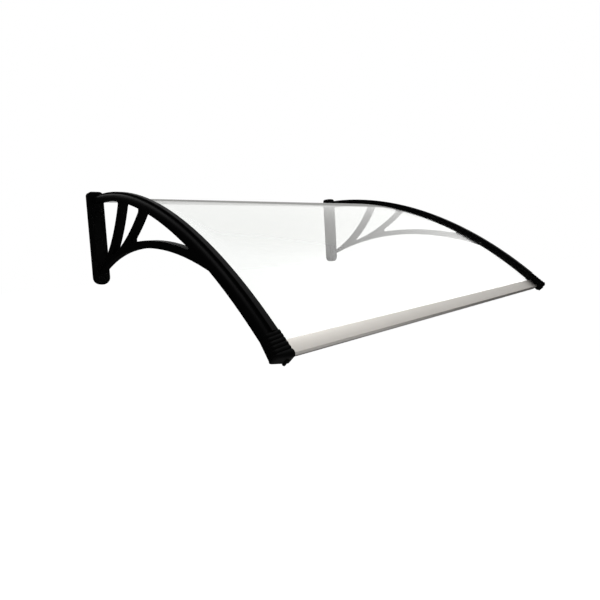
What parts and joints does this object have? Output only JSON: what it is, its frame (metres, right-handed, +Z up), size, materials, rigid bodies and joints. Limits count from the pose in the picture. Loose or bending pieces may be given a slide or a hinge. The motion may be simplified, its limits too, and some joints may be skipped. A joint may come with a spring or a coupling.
{
  "type": "door canopy",
  "caption": "Arched door canopy: a clear curved sheet held between moulded wall brackets with fan-shaped webs, with a metal bar along its front edge and ribbed end caps.",
  "frame": {"origin": "on the wall, midway between the brackets and level with the tops of the wall bars", "axes": "+X along the wall to the right when seen from in front, +Y into the wall, +Z up; the canopy reaches out along -Y"},
  "size_m": [1, 0.7636, 0.3472],
  "materials": {
    "moulding": "satin moulded ABS",
    "clear_sheet": "clear solid polycarbonate",
    "bar_metal": "satin anodised",
    "seal_rubber": "matt",
    "screw_steel": "black zinc"
  },
  "bodies": {
    "root": {"left_bracket": "moulding", "right_bracket": "moulding", "left_nose_cap": "moulding", "right_nose_cap": "moulding", "left_top_bolt_cover": "moulding", "left_middle_bolt_cover": "moulding", "left_bottom_bolt_cover": "moulding", "right_top_bolt_cover": "moulding", "right_middle_bolt_cover": "moulding", "right_bottom_bolt_cover": "moulding", "roof_sheet": "clear_sheet", "front_bar": "bar_metal", "left_sheet_seal": "seal_rubber", "right_sheet_seal": "seal_rubber", "bar_gasket": "seal_rubber", "left_cap_screw": "screw_steel", "right_cap_screw": "screw_steel", "left_bar_screw": "screw_steel", "right_bar_screw": "screw_steel"}
  },
  "joints": []
}
